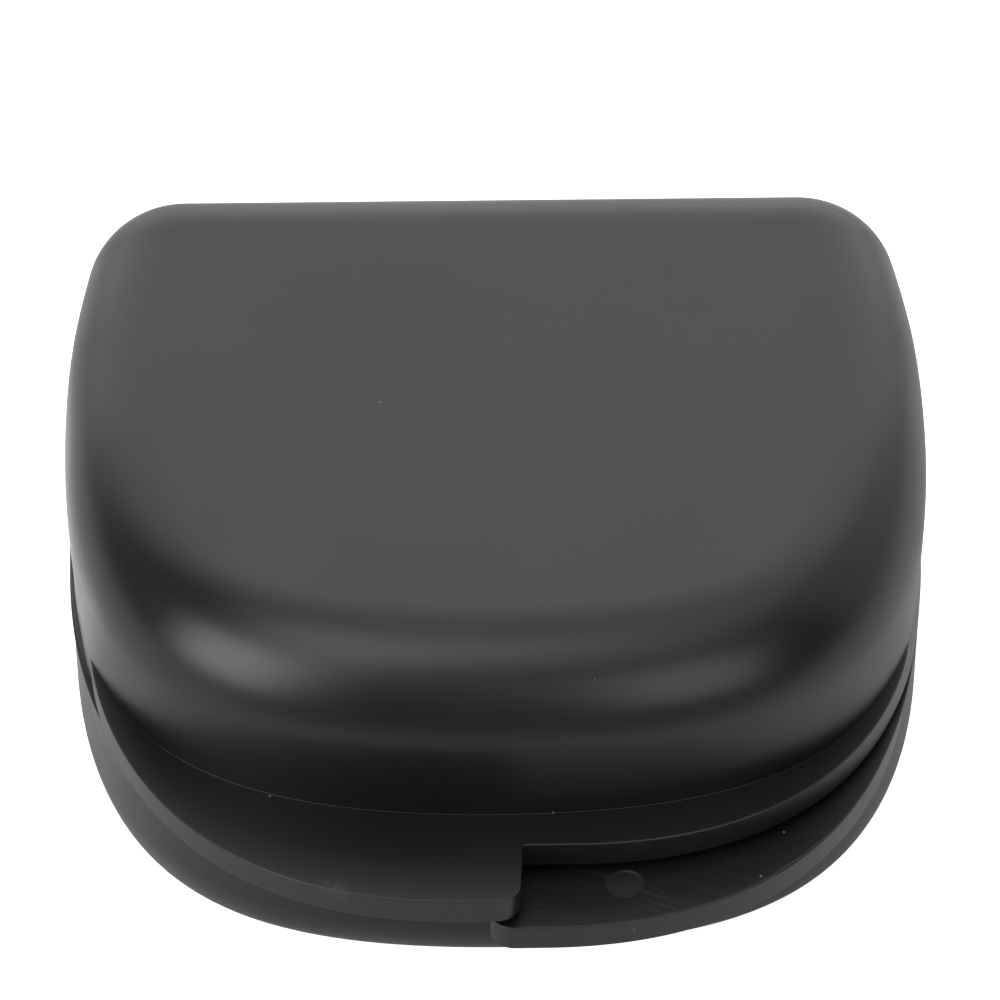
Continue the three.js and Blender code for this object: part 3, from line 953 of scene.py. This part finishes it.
def scratch_group(name):
    """Noise drawn out along one direction, kept where it is strongest and where broad noise lets it be."""
    group, given, put_out = new_group(name, {"Angle": 0.0, "Width": 2400.0, "Least": 0.6}, "Mask")
    turned = turned_about(group, given["Vector"], given["Angle"])
    drawn = add_node(group, "ShaderNodeVectorMath", {0: turned, 1: (0.035, 1.0, 1.0)}, operation="MULTIPLY")
    lines = noise(group, drawn.outputs[0], given["Width"], 2.0)
    most = calculate(group, "ADD", given["Least"], 0.16)
    kept = eased(group, lines, given["Least"], most)
    broad = noise(group, given["Vector"], 140.0, 1.0)
    return put_out(times(group, kept, eased(group, broad, 0.42, 0.66)))


def near_group(name):
    """One at a place, falling softly to nothing at the reach from it."""
    group, given, put_out = new_group(name, {"Place": None, "Reach": 0.001}, "Mask")
    away = add_node(
        group, "ShaderNodeVectorMath", {0: given["Vector"], 1: given["Place"]}, operation="DISTANCE")
    share = calculate(group, "DIVIDE", away.outputs["Value"], given["Reach"])
    return put_out(eased(group, share, 1.0, 0.4))


def line_group(name):
    """One along a straight line through a place, falling to nothing at its half width and half length."""
    group, given, put_out = new_group(name, {
        "Place": None, "Angle": 0.0, "Half Width": 0.0001, "Half Length": 0.005}, "Mask")
    turned = turned_about(group, given["Vector"], given["Angle"], given["Place"])
    away = add_node(group, "ShaderNodeVectorMath", {0: turned, 1: given["Place"]}, operation="SUBTRACT")
    parts = add_node(group, "ShaderNodeSeparateXYZ", {0: away.outputs[0]}).outputs
    mask = 1.0
    for part, reach in ((parts[0], "Half Length"), (parts[1], "Half Width")):
        share = calculate(group, "DIVIDE", calculate(group, "ABSOLUTE", part), given[reach])
        mask = times(group, eased(group, share, 1.0, 0.3), mask)
    return put_out(mask)


EFFECTS = {
    "Moulded Grain": grain_group,
    "Uneven Satin": satin_group,
    "Dust Specks": dust_group,
    "Wiping Scratches": scratch_group,
    "Near Place": near_group,
    "Long Scratch": line_group,
}


def use_effect(tree, name, vector, **links):
    """One placed copy of the shader group of that name, built once, with its inputs linked or set."""
    group = bpy.data.node_groups.get(name) or EFFECTS[name](name)
    made = add_node(tree, "ShaderNodeGroup", node_tree=group)
    tree.links.new(vector, made.inputs["Vector"])
    for label, value in links.items():
        made.inputs[label.replace("_", " ").title()].default_value = value
    return made.outputs[0]


def mix_colour(tree, share, first, second):
    """The output of one colour Mix node."""
    return add_node(tree, "ShaderNodeMix", {0: share, 6: first, 7: second}, data_type="RGBA").outputs[2]


def new_material(name):
    """A material with nodes, its node tree, its shader's inputs, and the object's own coordinates."""
    material = bpy.data.materials.new(name)
    material.use_nodes = True
    tree = material.node_tree
    where = add_node(tree, "ShaderNodeTexCoord").outputs["Object"]
    return material, tree, tree.nodes["Principled BSDF"].inputs, where


def mask_of(tree, name):
    """The value of a mesh's own mask."""
    return add_node(tree, "ShaderNodeAttribute", attribute_name=name).outputs["Fac"]


def satin_plastic(name, finish, specks=()):
    """Satin black plastic: grain, uneven gloss, glossier parting faces, scratches, scuffs and dust."""
    ready = bpy.data.materials.get(name)
    if ready:
        return ready
    material, tree, shader, where = new_material(name)
    facing = mask_of(tree, "parting_face")
    parting = calculate(tree, "MINIMUM", facing, 1.0)
    marked = calculate(tree, "SUBTRACT", facing, 1.0, clamp=True)
    plain = calculate(tree, "SUBTRACT", parting, marked)
    grain = use_effect(tree, "Moulded Grain", where, scale=1 / finish.grain_size)
    patches = use_effect(tree, "Uneven Satin", where, scale=55.0)
    dust = use_effect(tree, "Dust Specks", where, scale=420.0, share=0.02, size=0.06)
    for place in specks:
        near = use_effect(tree, "Near Place", where, place=place, reach=SPECK_REACH)
        dust = calculate(tree, "MAXIMUM", dust, near)
    scratches = use_effect(tree, "Wiping Scratches", where, angle=WIPING_ANGLE, width=3200.0, least=0.5)
    scratch = use_effect(
        tree, "Long Scratch", where, place=SCRATCH_PLACE, angle=SCRATCH_ANGLE,
        half_width=SCRATCH_HALF_WIDTH, half_length=SCRATCH_HALF_LENGTH)
    wiped = times(tree, calculate(tree, "MAXIMUM", scratches, scratch), plain)
    scuffs = [(use_effect(tree, "Near Place", where, place=place, reach=reach), strength)
              for place, reach, strength in SCUFFS]
    streaks = use_effect(tree, "Wiping Scratches", where, angle=SCUFF_ANGLE, width=6500.0, least=0.44)
    scuffed = times(tree, weighed(tree, 0.0, scuffs), streaks)
    worn = weighed(tree, 0.0, [
        (mask_of(tree, "worn_edge"), EDGE_WEAR), (wiped, WIPED_WEAR), (marked, MARK_WEAR), (scuffed, 1.0)],
        clamp=True)
    colour = mix_colour(tree, worn, (*finish.plastic_colour, 1), (*finish.worn_colour, 1))
    colour = mix_colour(tree, dust, colour, (*finish.dust_colour, 1))
    rough = weighed(tree, finish.satin - PATCH_ROUGH / 2, [
        (patches, PATCH_ROUGH), (parting, -PARTING_GLOSS), (worn, WORN_ROUGH), (dust, DUST_ROUGH)],
        clamp=True)
    height = weighed(tree, 0.0, [(grain, 1.0), (wiped, SCRATCH_HEIGHT), (dust, DUST_HEIGHT)])
    bump = add_node(tree, "ShaderNodeBump", {"Height": height, "Strength": 0.5, "Distance": GRAIN_HEIGHT})
    tree.links.new(colour, shader["Base Color"])
    tree.links.new(rough, shader["Roughness"])
    tree.links.new(bump.outputs[0], shader["Normal"])
    shader["IOR"].default_value = 1.5
    return material


# Stage

# Each softbox's azimuth and elevation from the case, its distance, width and height in metres, its
# brightness, and the elevation that it looks back from
SOFTBOXES = {
    "Light Wall Behind": (-1.7, 41, 1.33, 2.33, 1.75, 1.5, 0),
    "Left Front Softbox": (-127, 25, 1.0, 0.62, 0.72, 5.1, 25),
    "Left Front Upper Softbox": (-140, 65, 1.0, 0.47, 0.78, 1.8, 65),
    "Right Front Softbox": (151, 25, 1.0, 0.56, 0.68, 2.16, 25),
    "Right Side Softbox": (73, 32, 1.1, 0.85, 1.1, 0.6, 14),
    "Top Softbox": (102, 85, 1.0, 1.24, 1.0, 1.02, 85),
}

# The floor's half width and steps, how pale its clouds and its front under painted shade are, and the depths
# between which it goes from painted shade to pale
FLOOR_HALF = 3.0
FLOOR_STEPS = 8
CLOUD_SHARE = 0.985
PAINTED_SHADE_SHARE = 0.2
PAINTED_SHADE_DEPTHS = (-0.17, -0.052)

# The floor's painted light beside the case's left side, a stretch of floor that glows though it is no lamp
# and that only reflections show, brightening the case's left wall: its strength, where it fades in and out
# from left to right, and from front to back
GLOW_PATCH_STRENGTH = 0.8
GLOW_PATCH_LEFT, GLOW_PATCH_RIGHT = (-0.09, -0.07), (-0.05, -0.04)
GLOW_PATCH_FRONT, GLOW_PATCH_BACK = (0.002, 0.016), (0.05, 0.07)

# The product camera's height, turn and roll, its distance, and what it looks at, as an offset from
# the widest place at the parting plane; its lens and sensor in millimetres
CAMERA_LIFT = math.radians(43)
CAMERA_TURN = math.radians(-0.95)
CAMERA_ROLL = math.radians(0.02)
CAMERA_DISTANCE = 563.54 * MM
CAMERA_AIM = Vector((0.5 * MM, 0.3 * MM, 0.455 * MM))
CAMERA_LENS = 216
CAMERA_SENSOR = 36


def panel_light(name, azimuth, elevation, distance, width, height, brightness, facing):
    """A softbox in a direction from the case, azimuth from straight behind towards the right.

    It looks back along that azimuth, from the elevation called facing.
    """
    light = bpy.data.lights.new(name, "AREA")
    light.shape = "RECTANGLE"
    light.size, light.size_y = width, height
    light.energy = brightness * math.pi * width * height
    holder = bpy.data.objects.new(name, light)
    turn = math.radians(azimuth)

    def towards(lift):
        return Vector((math.sin(turn) * math.cos(lift), math.cos(turn) * math.cos(lift), math.sin(lift)))

    holder.location = towards(math.radians(elevation)) * distance + Vector((0, 0, PARTING_LEVEL))
    holder.rotation_euler = towards(math.radians(facing)).to_track_quat("Z", "Y").to_euler()
    bpy.context.scene.collection.objects.link(holder)


def floor_sheet():
    """A flat square sheet at height zero, as a grid of even steps both ways."""
    count = FLOOR_STEPS + 1
    steps = np.linspace(-FLOOR_HALF, FLOOR_HALF, count)
    x, y = np.meshgrid(steps, steps)
    points = np.stack([x.ravel(), y.ravel(), np.zeros(x.size)], axis=1)
    low = (np.arange(FLOOR_STEPS)[:, None] * count + np.arange(FLOOR_STEPS)).ravel()
    return points, np.stack([low, low + 1, low + count + 1, low + count], axis=1).tolist()


def floor_paper(finish):
    """Matt pale paper with a faint cloudiness, darkened with painted shade some way in front of the case.

    The camera alone sees it lifted to a bright backdrop, and reflections alone show painted light beside the
    case's left side: a stretch of floor that glows though it is no lamp, brightening the case's left wall in
    reflection.
    """
    material, tree, shader, where = new_material("Pale Studio Paper")
    pale = np.array(finish.floor_colour)
    clouds = noise(tree, where, 6.0, 2.0)
    colour = mix_colour(tree, clouds, (*(pale * CLOUD_SHARE), 1), (*pale, 1))
    x, y, _ = add_node(tree, "ShaderNodeSeparateXYZ", {0: where}).outputs
    # Painted shade: the paper's colour darkens towards the front and stands in for shade on the floor there.
    shade = eased(tree, y, *PAINTED_SHADE_DEPTHS, 1.0, 0.0)
    colour = mix_colour(tree, shade, colour, (*(pale * PAINTED_SHADE_SHARE), 1))
    tree.links.new(colour, shader["Base Color"])
    # Painted light: this stretch of floor glows for glossy rays only, so the case's left wall reflects a
    # brightness that no lamp gives.
    glow_patch = times(tree, eased(tree, x, *GLOW_PATCH_RIGHT, GLOW_PATCH_STRENGTH, 0.0), eased(tree, x, *GLOW_PATCH_LEFT))
    glow_patch = times(tree, glow_patch, eased(tree, y, *GLOW_PATCH_FRONT))
    glow_patch = times(tree, glow_patch, eased(tree, y, *GLOW_PATCH_BACK, 1.0, 0.0))
    rays = add_node(tree, "ShaderNodeLightPath").outputs
    seen = weighed(tree, rays["Is Camera Ray"], [(glow_patch, rays["Is Glossy Ray"])])
    tree.links.new(seen, shader["Emission Color"])
    shader["Emission Strength"].default_value = finish.floor_lift
    shader["Roughness"].default_value = 0.9
    shader["Specular IOR Level"].default_value = 0.1
    return material


def product_camera():
    """The camera of the product picture: high in front, nearly straight on, with a long lens."""
    back = Vector((
        math.sin(CAMERA_TURN) * math.cos(CAMERA_LIFT), -math.cos(CAMERA_TURN) * math.cos(CAMERA_LIFT),
        math.sin(CAMERA_LIFT)))
    level = (-back).cross(Vector((0, 0, 1))).normalized()
    up = level.cross(-back)
    right = level * math.cos(CAMERA_ROLL) + up * math.sin(CAMERA_ROLL)
    over = up * math.cos(CAMERA_ROLL) - level * math.sin(CAMERA_ROLL)
    aim = CAMERA_AIM + Vector((0, HINGE_DEPTH - HINGE_REACH, PARTING_LEVEL))
    camera = bpy.data.cameras.new("Product Camera")
    camera.sensor_fit = "HORIZONTAL"
    camera.sensor_width = CAMERA_SENSOR
    camera.lens = CAMERA_LENS
    camera.clip_start, camera.clip_end = 0.01, 50
    holder = bpy.data.objects.new("Product Camera", camera)
    turned = Matrix((right, over, back)).transposed().to_4x4()
    holder.matrix_world = Matrix.Translation(aim + back * CAMERA_DISTANCE) @ turned
    bpy.context.scene.collection.objects.link(holder)
    return holder


# What the lid and the base have of their own

# Where along the base's lip flash was trimmed by hand: from the middle line, where it starts and
# ends, each as a soft step, in millimetres; its waves' pitches, turned into angles; its height
FLASH_START, FLASH_END = (21.5, 24), (28, 29.5)
FLASH_WAVES = (5.1, 2.3)
FLASH_SHIFT = 0.7
FLASH_HEIGHT = 0.14 * MM

# The lid's rim at its sides: how far it is drawn in at the left and at the right, and the places
# where that fades in and out along the depth, up the wall and towards the middle
DRAWN_LEFT, DRAWN_RIGHT = 0.3 * MM, 0.2 * MM
DRAWN_BACK, DRAWN_FRONT = (-1 * MM, 6 * MM), (16 * MM, 24 * MM)
DRAWN_LEVELS = (1 * MM, 10 * MM)
DRAWN_WIDTHS = (25 * MM, 34 * MM)


def parting_flash(edge):
    """Extra rounding in short waves along part of the base's lip: two sines' product in a soft window."""
    place = -edge[:, 0] / MM
    window = smooth_step(place, *FLASH_START) * (1 - smooth_step(place, *FLASH_END)) * (edge[:, 1] < 0)
    first, second = FLASH_WAVES
    waves = 0.5 + 0.5 * np.sin(place * first) * np.sin(place * second + FLASH_SHIFT)
    return window * waves * FLASH_HEIGHT


def no_flash(edge):
    """No extra rounding."""
    return np.zeros(len(edge))


def drawn_in_rim(points):
    """The lid with its rim drawn in a little at both sides in front of its widest place, most at the left.

    The draw is an S up and an S down along the depth, times an S that ends it some way up the wall.
    """
    x, y, z = points.T
    along_side = smooth_step(-y, *DRAWN_BACK) * (1 - smooth_step(-y, *DRAWN_FRONT))
    draw = along_side * (1 - smooth_step(z, *DRAWN_LEVELS))
    left = DRAWN_LEFT * smooth_step(-x, *DRAWN_WIDTHS)
    right = DRAWN_RIGHT * smooth_step(x, *DRAWN_WIDTHS)
    return points + np.stack([draw * (left - right), 0 * y, 0 * z], axis=1)


def as_moulded(points):
    """The points as they are."""
    return points


# Operators


def make_fittings(context, parts, sharp):
    """Each named part once for each half, in plain plastic without the shells' own specks."""
    material = satin_plastic("Satin Black Plastic fittings", context.scene.case_finish)
    for body, set_down in HALVES:
        for part, (points, faces) in parts.items():
            make_piece(f"{body}_{part}", body, (set_down(points), faces), material, sharp=sharp)


class CASE_OT_shells(bpy.types.Operator):
    """Makes the two moulded shells with their flanges and thumb lips"""
    bl_idname = "case.shells"
    bl_label = "Make Shells"

    def execute(self, context):
        shape, finish = context.scene.case_shape, context.scene.case_finish
        own = {"lid": (shape.lid_lip_past_middle, LID_LIP, no_flash, drawn_in_rim),
               "base": (shape.base_lip_past_middle, BASE_LIP, parting_flash, as_moulded)}
        for body, set_down in HALVES:
            end, lip_shares, flash, warp = own[body]
            rows, parting, worn = shell_skin(shape, end, lip_shares, flash)
            points, faces = closed_grid(rows)
            points = warp(points)
            masks = {"parting_face": grid_values(parting), "worn_edge": grid_values(worn)}
            material = satin_plastic(f"Satin Black Plastic {body}", finish, LONE_SPECKS)
            shell = make_piece(f"{body}_shell", body, (set_down(points), faces), material, masks)
            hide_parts(body)
        return {"FINISHED"}


class CASE_OT_catches(bpy.types.Operator):
    """Makes the tongue with its catch bead inside each half"""
    bl_idname = "case.catches"
    bl_label = "Make Catches"

    def execute(self, context):
        make_fittings(context, {"tongue": tongue_blade(context.scene.case_shape)}, SHARP)
        return {"FINISHED"}


class CASE_OT_hinges(bpy.types.Operator):
    """Makes the snap hook and the fork with its bar at the back of each half"""
    bl_idname = "case.hinges"
    bl_label = "Make Hinges"

    def execute(self, context):
        shape = context.scene.case_shape
        gap = shape.hook_width / 2 + FORK_PLAY
        middle = -shape.hook_spacing
        make_fittings(context, {
            "hook": hook_claw(shape),
            "outer_cheek": cheek(shape, middle - gap - shape.cheek_thickness, middle - gap),
            "inner_cheek": cheek(shape, middle + gap, middle + gap + shape.cheek_thickness),
            "bar": hinge_bar(shape)}, SHARP)
        return {"FINISHED"}


class CASE_OT_marks(bpy.types.Operator):
    """Makes the round pin marks on the inner floor of each half"""
    bl_idname = "case.marks"
    bl_label = "Make Floor Marks"

    def execute(self, context):
        make_fittings(context, {"floor_marks": floor_marks(context.scene.case_shape)}, MARK_SHARP)
        return {"FINISHED"}


class CASE_OT_stage(bpy.types.Operator):
    """Lays the pale floor, hangs the softboxes and sets up the camera"""
    bl_idname = "case.stage"
    bl_label = "Make Stage"

    def execute(self, context):
        finish = context.scene.case_finish
        points, faces = floor_sheet()
        mesh = bpy.data.meshes.new("studio_floor")
        mesh.from_pydata(points.tolist(), [], faces)
        mesh.materials.append(floor_paper(finish))
        floor = bpy.data.objects.new("studio_floor", mesh)
        context.scene.collection.objects.link(floor)
        for name, place_and_light in SOFTBOXES.items():
            panel_light(name, *place_and_light)
        world = bpy.data.worlds.new("Pale Room")
        world.use_nodes = True
        tree = world.node_tree
        background = tree.nodes["Background"].inputs
        background["Color"].default_value = (1, 1, 1, 1)
        seen = add_node(tree, "ShaderNodeLightPath").outputs["Is Camera Ray"]
        brightness = eased(tree, seen, 0.0, 1.0, finish.surround, finish.backdrop)
        tree.links.new(brightness, background["Strength"])
        context.scene.world = world
        context.scene.camera = product_camera()
        context.scene.view_settings.view_transform = "Standard"
        return {"FINISHED"}


class CASE_PT_panel(bpy.types.Panel):
    """Lists the case's pieces and their sizes"""
    bl_idname = "CASE_PT_panel"
    bl_label = "Retainer Case"
    bl_space_type = "VIEW_3D"
    bl_region_type = "UI"
    bl_category = "Retainer Case"

    def draw(self, context):
        for step in STEPS:
            self.layout.operator(step.bl_idname)
        for settings in (context.scene.case_shape, context.scene.case_finish):
            column = self.layout.column(align=True)
            for name in settings.bl_rna.properties.keys():
                if name not in {"rna_type", "name"}:
                    column.prop(settings, name)


STEPS = (CASE_OT_shells, CASE_OT_catches, CASE_OT_hinges, CASE_OT_marks, CASE_OT_stage)
CLASSES = (CaseShape, CaseFinish, *STEPS, CASE_PT_panel)


def register():
    """Adds the settings, the operators and the panel."""
    for item in CLASSES:
        bpy.utils.register_class(item)
    bpy.types.Scene.case_shape = bpy.props.PointerProperty(type=CaseShape)
    bpy.types.Scene.case_finish = bpy.props.PointerProperty(type=CaseFinish)


def unregister():
    """Takes them out again, last first."""
    del bpy.types.Scene.case_finish
    del bpy.types.Scene.case_shape
    for item in reversed(CLASSES):
        bpy.utils.unregister_class(item)


def main():
    """Makes all pieces and the stage."""
    register()
    bpy.ops.case.shells()
    bpy.ops.case.catches()
    bpy.ops.case.hinges()
    bpy.ops.case.marks()
    bpy.ops.case.stage()


if __name__ == "__main__":
    main()
